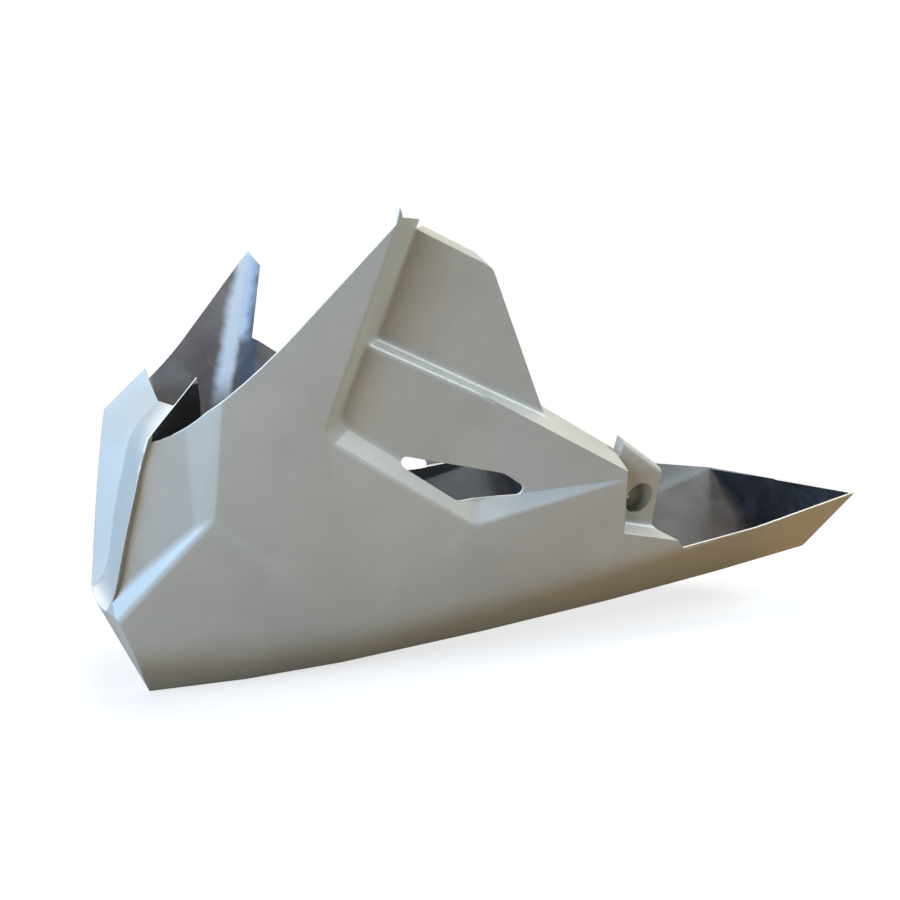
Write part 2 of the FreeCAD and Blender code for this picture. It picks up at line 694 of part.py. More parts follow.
def sagged_arc(start, end, sag):
    """An arc between two points seen from the side, below their chord by a sag."""
    chord = (end[0] - start[0], end[1] - start[1])
    length = math.hypot(*chord)
    half_x, half_z = chord[0] / 2, chord[1] / 2
    middle = (start[0] + half_x - chord[1] / length * sag, start[1] + half_z + chord[0] / length * sag)
    return Part.Arc(*[Vector(x, 0, z) for x, z in (start, middle, end)]).toShape()


def rim_tool(right):
    """What is cut away above one side's rim, as a prism on the left of the mid-plane."""
    ahead = size("right_rim_ahead") if right else 0.0
    brow = (size("brow_x"), brow_height(right))
    crest = (size("crest_x") + ahead, size("crest_z"))
    sweep = (size("sweep_x") + ahead, size("sweep_z"))
    peak = [(size("peak_front_x") + ahead, size("peak_front_z")), (size("peak_x"), size("peak_z"))]
    tail = (-size("transom_x"), size("transom_z"))
    if right:
        names = ["head", "foot", "shelf"]
        middle = [(size("right_%s_x" % name), size("right_%s_z" % name)) for name in names]
        middle += [(size("shelf_rear_x"), size("shelf_rear_z") + size("right_shelf_rise"))]
        last = (size("right_sill_x"), size("right_sill_z"))
        middle += [last]
    else:
        middle = [(size("peak_rear_x"), size("peak_rear_z")), (size("lip_head_x"), size("lip_head_z"))]
        middle += [(size("lip_rear_x"), size("lip_rear_z") + CLEAR / 4)]
        middle += [(size("panel_foot_x"), size("panel_foot_z") + CLEAR)]
        middle += [(size("boss_head_x"), size("boss_head_z") + CLEAR)]
        middle += [(size("boss_head_x"), size("boss_head_z")), (size("boss_foot_x"), size("boss_foot_z"))]
        last = (size("sill_mid_x"), size("sill_mid_z"))
        middle += [(size("sill_front_x"), size("sill_front_z")), last]
    run = (tail[0] - last[0], tail[1] - last[1])
    beyond = (tail[0] + run[0], tail[1] + run[1])
    top = HULL_TOP + CLEAR
    corners = [sweep, *peak, *middle, tail, beyond]
    corners += [(beyond[0], top), (REACH, top), (REACH, brow[1]), brow]
    points = [Vector(x, 0, z) for x, z in corners]
    edges = [Part.makeLine(first, second) for first, second in zip(points, points[1:])]
    arcs = [sagged_arc(brow, crest, size("crest_sag")), sagged_arc(crest, sweep, size("sweep_sag"))]
    return Part.Face(Part.Wire(arcs + edges)).extrude(Vector(0, REACH, 0))


def mouth_tool():
    """The open mouth between the shelves, lips and bosses."""
    edge = half_space(on_flank(0, 0, size("mouth_depth")), FLANK_OUT * -1)
    rear_x = size("sill_front_x")
    corner = Vector(rear_x, -REACH / 2, size("boss_foot_z"))
    box = Part.makeBox(size("sweep_x") - rear_x, REACH, REACH, corner)
    return common(edge, mirrored(edge), box)


def mirrored(shape):
    """The same on the other side of the mid-plane."""
    return shape.mirror(Vector(0, 0, 0), Vector(0, 1, 0))


def both(shape):
    """A left tool together with its mirror image."""
    return [shape, mirrored(shape)]


def blank(grow):
    """The closed hull with every hollow of its outside, all grown inward by a distance."""
    flank, panel = (FLANK_ORIGIN, FLANK_OUT), sunk_plane("panel_depth")
    band = cheek_planes()[-1]
    ledge = notch_planes()[-1]
    solid = hull_solid(grow).cut(both(cheek_tool(grow)))
    solid = softened(solid, band, flank, size("cheek_edge_radius") - grow, grow)
    solid = solid.cut(both(recess_tool(grow)))
    solid = softened(solid, flank, strip_plane(), size("recess_edge_radius") - grow, grow)
    solid = solid.cut(both(notch_tool(grow)) + both(deck_tool(grow)) + [lip_tool(grow)])
    solid = softened(solid, lip_plane(), panel_rear_plane(), size("panel_corner_radius") - grow, grow)
    solid = softened(solid, boss_top_plane(), panel, size("boss_edge_radius") - grow, grow)
    return softened(solid, ledge, panel, size("notch_fillet") + grow, grow)


# The laminate follows the outside at one thickness.

outside = show("Outside", blank(0.0))
inside = show("Inside", blank(WALL))
laminate = cut("Laminate", outside, inside)

boss_y = on_flank(size("boss_x"), size("boss_z"), size("panel_depth")).y
sheet.set("B%d" % (len(rows) + 1), str(boss_y))
sheet.setAlias("B%d" % (len(rows) + 1), "boss_y")
doc.recompute()
cup_foot = "Sizes.boss_y - Sizes.cup_depth - Sizes.seat_thickness"
cup = cup_cylinder("Cup", "Sizes.cup_radius + Sizes.wall", cup_foot)
cup_bore = cup_cylinder("CupBore", "Sizes.cup_radius", "Sizes.boss_y - Sizes.cup_depth")
bolt_hole = cup_cylinder("BoltHole", "Sizes.bolt_radius", "Sizes.boss_y - 2 * Sizes.cup_depth")
cups = joined("Fuse", "Cups", [cup, mirror_image("RightCup", cup)])
cup_bodies = joined("Common", "CupBodies", [cups, outside])

rims = show("Rims", rim_tool(False).fuse([mirrored(rim_tool(True)), mouth_tool()]))
slots = show("Slots", slot_tool().fuse(mirrored(slot_tool())))
drilled = joined("Fuse", "Drilled", [cup_bore, bolt_hole])
drilled_both = joined("Fuse", "DrilledBoth", [drilled, mirror_image("RightDrilled", drilled)])
channel = show("Channel", channel_tool(0.0))
kept = side_prism(ear_outline(False), 0, REACH).fuse(side_prism(ear_outline(True), -REACH, 0))
walls = show("ChannelWalls", common(channel_tool(WALL), kept))
channel_walls = joined("Common", "ChannelSides", [walls, show("Hull", hull_solid(0.0))])

trimmed = cut("Trimmed", laminate, joined("Fuse", "Openings", [rims, slots]))
shell = joined("Fuse", "Shell", [trimmed, cup_bodies, channel_walls])
fairing = cut("Fairing", shell, joined("Fuse", "Hollows", [drilled_both, channel]))
fairing.Label = "fairing_shell"
fairing.Placement.Base = Vector(size("middle_shift"), 0, 0)
doc.recompute()

for item in doc.Objects:
    if "Invalid" in item.State or "Error" in item.State:
        raise RuntimeError("%s could not be made" % item.Name)
if fairing.Shape.isNull() or not fairing.Shape.isValid():
    raise RuntimeError("the fairing is not a valid solid")

os.makedirs("parts", exist_ok=True)
fairing.Shape.exportStep("parts/%s.step" % fairing.Label)
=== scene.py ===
"""Lower fairing of a motorcycle: the dressed moulding, its studio and its camera."""

import logging
import math
from dataclasses import dataclass
from enum import Enum, IntEnum
from typing import Dict, List, Sequence, Set, Tuple, Union

import bmesh
import bpy
import numpy as np
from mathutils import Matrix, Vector
from mathutils.bvhtree import BVHTree

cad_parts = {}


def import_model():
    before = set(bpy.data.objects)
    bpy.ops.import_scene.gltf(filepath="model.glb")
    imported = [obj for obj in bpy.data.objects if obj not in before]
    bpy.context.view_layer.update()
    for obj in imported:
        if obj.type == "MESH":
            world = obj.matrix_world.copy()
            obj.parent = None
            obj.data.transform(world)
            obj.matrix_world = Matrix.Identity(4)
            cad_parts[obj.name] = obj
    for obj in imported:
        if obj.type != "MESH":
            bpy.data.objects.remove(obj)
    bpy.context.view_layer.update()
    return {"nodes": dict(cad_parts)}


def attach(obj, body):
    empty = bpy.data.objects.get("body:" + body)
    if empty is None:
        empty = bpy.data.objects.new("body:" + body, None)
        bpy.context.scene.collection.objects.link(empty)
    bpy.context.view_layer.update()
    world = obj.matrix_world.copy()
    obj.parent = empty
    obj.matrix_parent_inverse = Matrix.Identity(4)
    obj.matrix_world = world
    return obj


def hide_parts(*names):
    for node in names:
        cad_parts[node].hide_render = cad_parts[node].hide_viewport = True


Colour = Tuple[float, float, float]
Point = Tuple[float, float, float]
Span = Tuple[float, float]
Socket = bpy.types.NodeSocket
Value = Union[Socket, Colour, float]
Groups = Dict[str, bpy.types.NodeTree]

LOG = logging.getLogger("fairing")
NODE = "fairing_shell"
MILLIMETRE = 0.001
WHITE: Colour = (1.0, 1.0, 1.0)


class Skin(IntEnum):
    """Which surface of the moulding a face belongs to; also its material slot."""

    OUTSIDE = 0
    INSIDE = 1
    CUT_EDGE = 2


class Blend(Enum):
    """What a mix node blends: its data type, its first input of that type and its output."""

    VALUE = ("FLOAT", 2, 0)
    COLOUR = ("RGBA", 6, 2)


def linear(red: int, green: int, blue: int) -> Colour:
    """Turns a screen colour into linear values.

    Args:
        red: red from 0 to 255.
        green: green from 0 to 255.
        blue: blue from 0 to 255.

    Returns:
        The linear colour.
    """
    def channel(value: int) -> float:
        """Linear value of one channel."""
        share = value / 255
        return share / 12.92 if share <= 0.04045 else ((share + 0.055) / 1.055) ** 2.4

    return channel(red), channel(green), channel(blue)


def hang(name: str, data: bpy.types.ID) -> bpy.types.Object:
    """Makes an object of a mesh, a light or a camera and links it to the scene.

    Args:
        name: the object's name.
        data: what it shows.

    Returns:
        The object.
    """
    item = bpy.data.objects.new(name, data)
    bpy.context.scene.collection.objects.link(item)
    return item


class NodeSheet:
    """Adds and links shader nodes in one tree."""

    def __init__(self, tree: bpy.types.NodeTree) -> None:
        """Keeps the tree that gets the nodes."""
        self.tree = tree

    def add(self, kind: str, **settings: object) -> bpy.types.Node:
        """Adds a node.

        Args:
            kind: the node's type.
            settings: properties of the node to set.

        Returns:
            The new node.
        """
        node = self.tree.nodes.new(kind)
        for name, value in settings.items():
            setattr(node, name, value)
        return node

    def feed(self, target: Socket, value: Value) -> None:
        """Gives an input its value.

        Args:
            target: the input.
            value: a socket to link, a colour or a number.
        """
        if isinstance(value, bpy.types.NodeSocket):
            self.tree.links.new(value, target)
        elif isinstance(value, tuple):
            target.default_value = (*value, 1.0)
        else:
            target.default_value = value

    def fill(self, node: bpy.types.Node, values: Dict[str, Value]) -> bpy.types.Node:
        """Gives several inputs of a node their values.

        Args:
            node: the node.
            values: the value of each input by name.

        Returns:
            The same node.
        """
        for name, value in values.items():
            self.feed(node.inputs[name], value)
        return node

    def position(self) -> Socket:
        """Adds the place on the piece, in the frame that all pieces share."""
        return self.add("ShaderNodeTexCoord").outputs["Object"]

    def noise(self, position: Socket, scale: Value, detail: float, roughness: float) -> Socket:
        """Adds a noise texture.

        Args:
            position: where the noise is read.
            scale: waves per metre.
            detail: number of octaves.
            roughness: weight of the finer octaves.

        Returns:
            The noise value.
        """
        values = {"Vector": position, "Scale": scale, "Detail": detail, "Roughness": roughness}
        return self.fill(self.add("ShaderNodeTexNoise"), values).outputs["Fac"]

    def remap(self, value: Socket, source: Span, result: Span = (0.0, 1.0)) -> Socket:
        """Maps a range smoothly onto another, clamped at its ends.

        Args:
            value: the value to map.
            source: start and end of its range.
            result: what the start and the end become.

        Returns:
            The mapped value.
        """
        node = self.add("ShaderNodeMapRange", interpolation_type="SMOOTHSTEP")
        values = {"Value": value, "From Min": source[0], "From Max": source[1]}
        values.update({"To Min": result[0], "To Max": result[1]})
        return self.fill(node, values).outputs["Result"]

    def blend(self, share: Value, first: Value, second: Value, kind: Blend = Blend.COLOUR) -> Socket:
        """Mixes two colours or two values.

        Args:
            share: how much of the second one shows.
            first: a colour, a number or a socket.
            second: another of the same kind.
            kind: whether colours or values are mixed.

        Returns:
            The mixture.
        """
        data_type, low, output = kind.value
        node = self.add("ShaderNodeMix", data_type=data_type)
        for index, value in ((0, share), (low, first), (low + 1, second)):
            self.feed(node.inputs[index], value)
        return node.outputs[output]

    def work_out(self, operation: str, *values: Value) -> Socket:
        """Adds a sum.

        Args:
            operation: the sum, as the math node names it.
            values: sockets or numbers, in the node's order.

        Returns:
            The sum's result.
        """
        node = self.add("ShaderNodeMath", operation=operation)
        for socket, value in zip(node.inputs, values):
            self.feed(socket, value)
        return node.outputs[0]

    def cover(self, share: Socket, below: bpy.types.Node, above: bpy.types.Node) -> Socket:
        """Mixes two shaders.

        Args:
            share: how much of the upper one shows.
            below: the lower shader.
            above: the upper shader.

        Returns:
            The mixed shader.
        """
        node = self.add("ShaderNodeMixShader")
        for socket, value in zip(node.inputs, (share, below.outputs[0], above.outputs[0])):
            self.feed(socket, value)
        return node.outputs[0]


def new_group(name: str, inputs: Sequence[Tuple[str, str, object]],
              outputs: Sequence[Tuple[str, str]]) -> bpy.types.NodeTree:
    """Makes a shader node group with named sockets.

    Args:
        name: the group's name.
        inputs: name, socket type and default of each input.
        outputs: name and socket type of each output.

    Returns:
        The empty group.
    """
    group = bpy.data.node_groups.new(name, "ShaderNodeTree")
    for socket_name, socket_type, default in inputs:
        socket = group.interface.new_socket(name=socket_name, in_out="INPUT", socket_type=socket_type)
        socket.default_value = default
    for socket_name, socket_type in outputs:
        group.interface.new_socket(name=socket_name, in_out="OUTPUT", socket_type=socket_type)
    return group


def handling_dust_group() -> bpy.types.NodeTree:
    """Builds the group for dust and handling marks, used by every finish.

    Returns:
        The group. It mixes a dust colour over a base colour in soft patches and gives the patch mask.
    """
    inputs = [
        ("Base", "NodeSocketColor", (0.5, 0.5, 0.5, 1.0)),
        ("Dust", "NodeSocketColor", (0.6, 0.6, 0.58, 1.0)),
        ("Amount", "NodeSocketFloat", 0.1),
        ("Scale", "NodeSocketFloat", 14.0),
    ]
    patch_detail, patch_roughness, patch_span = 5.0, 0.62, (0.42, 0.72)
    group = new_group("HandlingDust", inputs, [("Colour", "NodeSocketColor"), ("Mask", "NodeSocketFloat")])
    sheet = NodeSheet(group)
    entry = sheet.add("NodeGroupInput").outputs
    noise = sheet.noise(sheet.position(), entry["Scale"], patch_detail, patch_roughness)
    mask = sheet.work_out("MULTIPLY", sheet.remap(noise, patch_span), entry["Amount"])
    mixed = sheet.blend(mask, entry["Base"], entry["Dust"])
    sheet.fill(sheet.add("NodeGroupOutput"), {"Colour": mixed, "Mask": mask})
    return group


def fine_grain_group() -> bpy.types.NodeTree:
    """Builds the group for fine surface grain, used by every finish.

    Returns:
        The group. It gives a height from two noises, a fine one and a wavy one.
    """
    inputs = [
        ("Fine Scale", "NodeSocketFloat", 900.0),
        ("Wave Scale", "NodeSocketFloat", 60.0),
        ("Wave Share", "NodeSocketFloat", 0.5),
    ]
    fine_detail, wave_detail, roughness = 3.0, 2.0, 0.5
    group = new_group("FineGrain", inputs, [("Height", "NodeSocketFloat")])
    sheet = NodeSheet(group)
    entry = sheet.add("NodeGroupInput").outputs
    position = sheet.position()
    fine = sheet.noise(position, entry["Fine Scale"], fine_detail, roughness)
    wave = sheet.noise(position, entry["Wave Scale"], wave_detail, roughness)
    height = sheet.blend(entry["Wave Share"], fine, wave, Blend.VALUE)
    sheet.fill(sheet.add("NodeGroupOutput"), {"Height": height})
    return group


@dataclass(frozen=True)
class Finish:
    """What all finishes of the moulding share. Lengths are metres and scales waves per metre.

    Attributes:
        name: the material's name.
        base: the colour.
        shade: the colour in its darker clouds.
        dust: the colour of handling dust.
        dust_amount: how much of the dust shows at most.
        roughness: roughness of the clean surface and of the dusty one.
        grain: strength of the relief.
        fine_scale: scale of the fine grain.
        wave_scale: scale of the waves under it.
        wave_share: share of the waves in the relief.
        edge_radius: how far the shading rounds an edge.
        coat: weight of a clear coat.
        coat_roughness: roughness of that coat.
        grain_height: depth of the relief.
        edge_samples: looks that the rounded shading takes.
        full_dust: the dust mask at which the surface is fully dusty.
        cloud_scale: scale of the clouds.
        cloud_detail: octaves of the clouds.
        cloud_roughness: weight of their finer octaves.
        cloud_span: the noise at which a cloud starts, and at which it is full.
        dust_scale: scale of the dust patches.
    """

    name: str
    base: Colour
    shade: Colour
    dust: Colour
    dust_amount: float
    roughness: Span
    grain: float
    fine_scale: float
    wave_scale: float
    wave_share: float
    edge_radius: float
    coat: float = 0.0
    coat_roughness: float = 0.28
    grain_height: float = 0.6 * MILLIMETRE
    edge_samples: int = 6
    full_dust: float = 0.6
    cloud_scale: float = 7.0
    cloud_detail: float = 4.0
    cloud_roughness: float = 0.55
    cloud_span: Span = (0.35, 0.68)
    dust_scale: float = 22.0

    def material(self, groups: Groups) -> bpy.types.Material:
        """Builds the finish as a material.

        Args:
            groups: the shared node groups by name.

        Returns:
            The material.
        """
        material = bpy.data.materials.new(self.name)
        material.use_nodes = True
        sheet = NodeSheet(material.node_tree)
        colour, mask = self.colour(sheet, groups)
        grain = sheet.fill(sheet.add("ShaderNodeGroup", node_tree=groups["grain"]), {
            "Fine Scale": self.fine_scale, "Wave Scale": self.wave_scale, "Wave Share": self.wave_share})
        soft_edge = sheet.add("ShaderNodeBevel", samples=self.edge_samples)
        sheet.fill(soft_edge, {"Radius": self.edge_radius})
        bump = sheet.fill(sheet.add("ShaderNodeBump"), {
            "Strength": self.grain, "Distance": self.grain_height,
            "Height": self.height(sheet, grain.outputs["Height"]), "Normal": soft_edge.outputs["Normal"]})
        sheet.fill(material.node_tree.nodes["Principled BSDF"], {
            "Base Color": colour,
            "Roughness": sheet.remap(mask, (0.0, self.full_dust), self.roughness),
            "Coat Weight": self.coat,
            "Coat Roughness": self.coat_roughness,
            "Normal": bump.outputs["Normal"],
        })
        return material

    def colour(self, sheet: NodeSheet, groups: Groups) -> Tuple[Socket, Socket]:
        """Builds the colour and the dust mask.

        Args:
            sheet: the material's nodes.
            groups: the shared node groups by name.

        Returns:
            The colour and the mask.
        """
        noise = sheet.noise(sheet.position(), self.cloud_scale, self.cloud_detail, self.cloud_roughness)
        toned = sheet.blend(sheet.remap(noise, self.cloud_span), self.base, self.shade)
        dusty = sheet.fill(sheet.add("ShaderNodeGroup", node_tree=groups["dust"]), {
            "Base": toned, "Dust": self.dust, "Amount": self.dust_amount, "Scale": self.dust_scale})
        return dusty.outputs["Colour"], dusty.outputs["Mask"]

    def height(self, sheet: NodeSheet, grain: Socket) -> Socket:
        """The relief that the bump reads; a finish with a weave adds it here."""
        return grain


@dataclass(frozen=True)
class LaminateFinish(Finish):
    """The bare laminate inside, with the print of its woven cloth and a painted sheen: a pale highlight
    painted along each fold.

    The painted sheen is a pale highlight in a band up the fold of each peak. Above the step it reaches back
    to the rear edge.

    Attributes:
        weave_scale: scale of the weave's bands.
        weave_share: share of the weave in the relief.
        weave_distortion: how unevenly the threads lie.
        painted_sheen: the colour of the painted highlight.
        sheen_share: how much of the painted highlight shows at most.
        sheen_top: x and z of the band's middle line at its top.
        sheen_foot: x and z of that line at its foot.
        sheen_half_width: half width of the band.
        sheen_core: share of the half width inside which the mist is full.
        sheen_ahead: shares of the half width, behind the middle line, where the rear side fades.
        sheen_step: heights between which the band gets its full width.
        sheen_fade: how far below and above the foot the band fades in.
        sheen_wander: scale, octaves and finer weight of the noise that bends the band.
    """

    weave_scale: float = 330.0
    weave_share: float = 0.45
    weave_distortion: float = 0.6
    # Colour of the painted highlight (painted sheen) along the fold of each peak.
    painted_sheen: Colour = linear(160, 176, 192)
    sheen_share: float = 0.8
    sheen_top: Span = (0.203, 0.385)
    sheen_foot: Span = (0.246, 0.245)
    sheen_half_width: float = 0.017
    sheen_core: float = 0.3
    sheen_ahead: Span = (-0.6, -0.1)
    sheen_step: Span = (0.298, 0.312)
    sheen_fade: Span = (-0.02, 0.03)
    sheen_wander: Tuple[float, float, float] = (26.0, 3.0, 0.6)

    def colour(self, sheet: NodeSheet, groups: Groups) -> Tuple[Socket, Socket]:
        """Lays the painted sheen, a pale highlight, over the laminate's colour.

        Args:
            sheet: the material's nodes.
            groups: the shared node groups by name.

        Returns:
            The colour and the dust mask.
        """
        toned, mask = super().colour(sheet, groups)
        # Painted highlight: a pale band up the fold of each peak that gets its full width above the step.
        position = sheet.position()
        place = sheet.fill(sheet.add("ShaderNodeSeparateXYZ"), {"Vector": position}).outputs
        (top_x, top_z), (foot_x, foot_z) = self.sheen_top, self.sheen_foot
        half = self.sheen_half_width
        lean = (foot_x - top_x) / (foot_z - top_z)
        line = sheet.work_out("MULTIPLY_ADD", place["Z"], -lean, lean * top_z - top_x)
        wander = sheet.work_out("MULTIPLY", sheet.noise(position, *self.sheen_wander), half)
        bent = sheet.work_out("ADD", sheet.work_out("ADD", place["X"], line), wander)
        ahead = sheet.work_out("SUBTRACT", bent, half / 2)
        aside = sheet.work_out("ABSOLUTE", ahead)
        band = sheet.remap(aside, (self.sheen_core * half, half), (self.sheen_share, 0.0))
        rise = sheet.remap(place["Z"], (foot_z + self.sheen_fade[0], foot_z + self.sheen_fade[1]))
        front = sheet.remap(ahead, (self.sheen_ahead[0] * half, self.sheen_ahead[1] * half))
        kept = sheet.work_out("MAXIMUM", front, sheet.remap(place["Z"], self.sheen_step))
        share = sheet.work_out("MULTIPLY", sheet.work_out("MULTIPLY", band, rise), kept)
        return sheet.blend(share, toned, self.painted_sheen), mask

    def height(self, sheet: NodeSheet, grain: Socket) -> Socket:
        """Adds the weave to the grain.

        Args:
            sheet: the material's nodes.
            grain: the grain's height.

        Returns:
            The height of both.
        """
        values = {"Vector": sheet.position(), "Scale": self.weave_scale, "Distortion": self.weave_distortion}
        threads = []
        for direction in ("X", "Z"):
            wave = sheet.add("ShaderNodeTexWave", wave_type="BANDS", bands_direction=direction)
            threads.append(sheet.fill(wave, values).outputs["Fac"])
        weave = sheet.work_out("MULTIPLY", *threads)
        return sheet.blend(self.weave_share, grain, weave, Blend.VALUE)


@dataclass(frozen=True)
class SkinSorter:
    """Tells the outside, the inside and the cut edges of a thin moulding apart.

    Each face of a wall has a parallel face behind it. Of the two, the outside one sees more of
    the open air. Neighbours then agree on one answer, so that a deep hollow counts as outside.

    Attributes:
        thin_wall: least and greatest thickness of the laminate.
        seat_wall: the same of the bolt seats.
        parallel: least cosine between the two sides of a wall.
        flat_angle: greatest angle between the faces of a level patch.
        look_count: looks that a face takes into the open air.
        look_step: how far off the face a look starts.
        rounds: how often neighbours compare their answers.
        wall_say: how much a face minds the answer of the face behind it.
        edge_say: how much it minds a neighbour where one of the two has no wall behind.
    """

    thin_wall: Span = (1.6 * MILLIMETRE, 2.9 * MILLIMETRE)
    seat_wall: Span = (3.7 * MILLIMETRE, 4.3 * MILLIMETRE)
    parallel: float = 0.97
    flat_angle: float = math.radians(0.5)
    look_count: int = 32
    look_step: float = 0.05 * MILLIMETRE
    rounds: int = 1500
    wall_say: float = 0.05
    edge_say: float = 0.01

    def face_behind(self, tree: BVHTree, face: bmesh.types.BMFace) -> int:
        """Finds the other side of the wall that a face belongs to.

        Args:
            tree: the solid's faces.
            face: the face to look behind.

        Returns:
            The index of the parallel face behind it, or -1 where there is none a wall away.
        """
        start = face.calc_center_median() - face.normal * self.look_step
        _, normal, index, distance = tree.ray_cast(start, -face.normal, self.seat_wall[1])
        if distance is None or normal.dot(face.normal) > -self.parallel:
            return -1
        thickness = distance + self.look_step
        return index if any(low < thickness < high for low, high in (self.thin_wall, self.seat_wall)) else -1

    def open_share(self, tree: BVHTree, face: bmesh.types.BMFace) -> float:
        """Measures how much open air a face sees.

        Args:
            tree: the solid's faces.
            face: the face to look from.

        Returns:
            The share of its looks that meet nothing, from 0 to 1.
        """
        start = face.calc_center_median() + face.normal * self.look_step
        turn = Vector((0.0, 0.0, 1.0)).rotation_difference(face.normal)
        free = 0
        for step in range(self.look_count):
            rise = (step + 0.5) / self.look_count
            spin = step * math.pi * (3.0 - math.sqrt(5.0))
            flat = math.sqrt(1.0 - rise * rise)
            look = turn @ Vector((flat * math.cos(spin), flat * math.sin(spin), rise))
            free += tree.ray_cast(start, look)[3] is None
        return free / self.look_count

    def answers(self, form: bmesh.types.BMesh, tree: BVHTree, behind: np.ndarray) -> np.ndarray:
        """Settles for each face which skin it belongs to.

        Args:
            form: the merged solid.
            tree: its faces.
            behind: the face behind each face, or -1.

        Returns:
            A value for each face, positive on the outside.
        """
        walled = np.flatnonzero(behind >= 0)
        shares = np.array([self.open_share(tree, face) for face in form.faces])
        value = np.zeros(len(behind))
        value[walled] = shares[walled] - shares[behind[walled]]
        joins = [edge for edge in form.edges if len(edge.link_faces) == 2]
        first = np.array([edge.link_faces[0].index for edge in joins])
        second = np.array([edge.link_faces[1].index for edge in joins])
        bent = np.array([edge.calc_face_angle(0.0) for edge in joins])
        grip = np.array([edge.calc_length() for edge in joins]) * np.cos(bent / 2) ** 2
        grip[(behind[first] < 0) | (behind[second] < 0)] *= self.edge_say
        whole = np.bincount(first, grip, len(value)) + np.bincount(second, grip, len(value))
        whole = np.maximum(whole, np.finfo(float).tiny)
        for _ in range(self.rounds):
            pull = np.bincount(first, grip * value[second], len(value))
            pull += np.bincount(second, grip * value[first], len(value))
            agreed = pull / whole
            agreed[walled] *= 1 - self.wall_say
            agreed[walled] -= self.wall_say * value[behind[walled]]
            value = agreed
        return value

    def flat_patches(self, form: bmesh.types.BMesh, behind: np.ndarray) -> List[List[bmesh.types.BMFace]]:
        """Collects the level groups of the faces that have no wall behind them.

        Args:
            form: the merged solid.
            behind: the face behind each face, or -1.

        Returns:
            The groups.
        """
        patches = []
        done: Set[int] = set()
        for seed in form.faces:
            if behind[seed.index] >= 0 or seed.index in done:
                continue
            done.add(seed.index)
            patch = [seed]
            for face in patch:
                for edge in face.edges:
                    for other in edge.link_faces:
                        level = other.normal.angle(seed.normal, 0.0) < self.flat_angle
                        if level and behind[other.index] < 0 and other.index not in done:
                            done.add(other.index)
                            patch.append(other)
            patches.append(patch)
        return patches

    def keep_largest(self, form: bmesh.types.BMesh, skin: Skin, instead: Skin) -> None:
        """Leaves a skin only its largest connected group, because each skin is one sheet.

        Args:
            form: the sorted solid.
            skin: the skin to look at.
            instead: the skin that its smaller groups belong to.
        """
        left = {face for face in form.faces if face.material_index == skin}
        groups = []
        while left:
            group = [left.pop()]
            for face in group:
                for edge in face.edges:
                    for other in edge.link_faces:
                        if other in left:
                            left.remove(other)
                            group.append(other)
            groups.append(group)
        groups.sort(key=lambda group: sum(face.calc_area() for face in group))
        for group in groups[:-1]:
            for face in group:
                face.material_index = instead

    def sort(self, form: bmesh.types.BMesh) -> None:
        """Gives each face the material slot of its surface.

        Args:
            form: the merged solid.
        """
        form.faces.ensure_lookup_table()
        form.normal_update()
        tree = BVHTree.FromBMesh(form)
        behind = np.array([self.face_behind(tree, face) for face in form.faces])
        outer = self.answers(form, tree, behind) > 0
        for face in form.faces:
            face.material_index = Skin.OUTSIDE if outer[face.index] else Skin.INSIDE
        for patch in self.flat_patches(form, behind):
            own = {face.index for face in patch}
            rim = {other.index for face in patch for edge in face.edges for other in edge.link_faces}
            met = {bool(outer[index]) for index in rim - own}
            if len(met) == 2:
                for face in patch:
                    face.material_index = Skin.CUT_EDGE
        self.keep_largest(form, Skin.INSIDE, Skin.OUTSIDE)
        self.keep_largest(form, Skin.OUTSIDE, Skin.INSIDE)


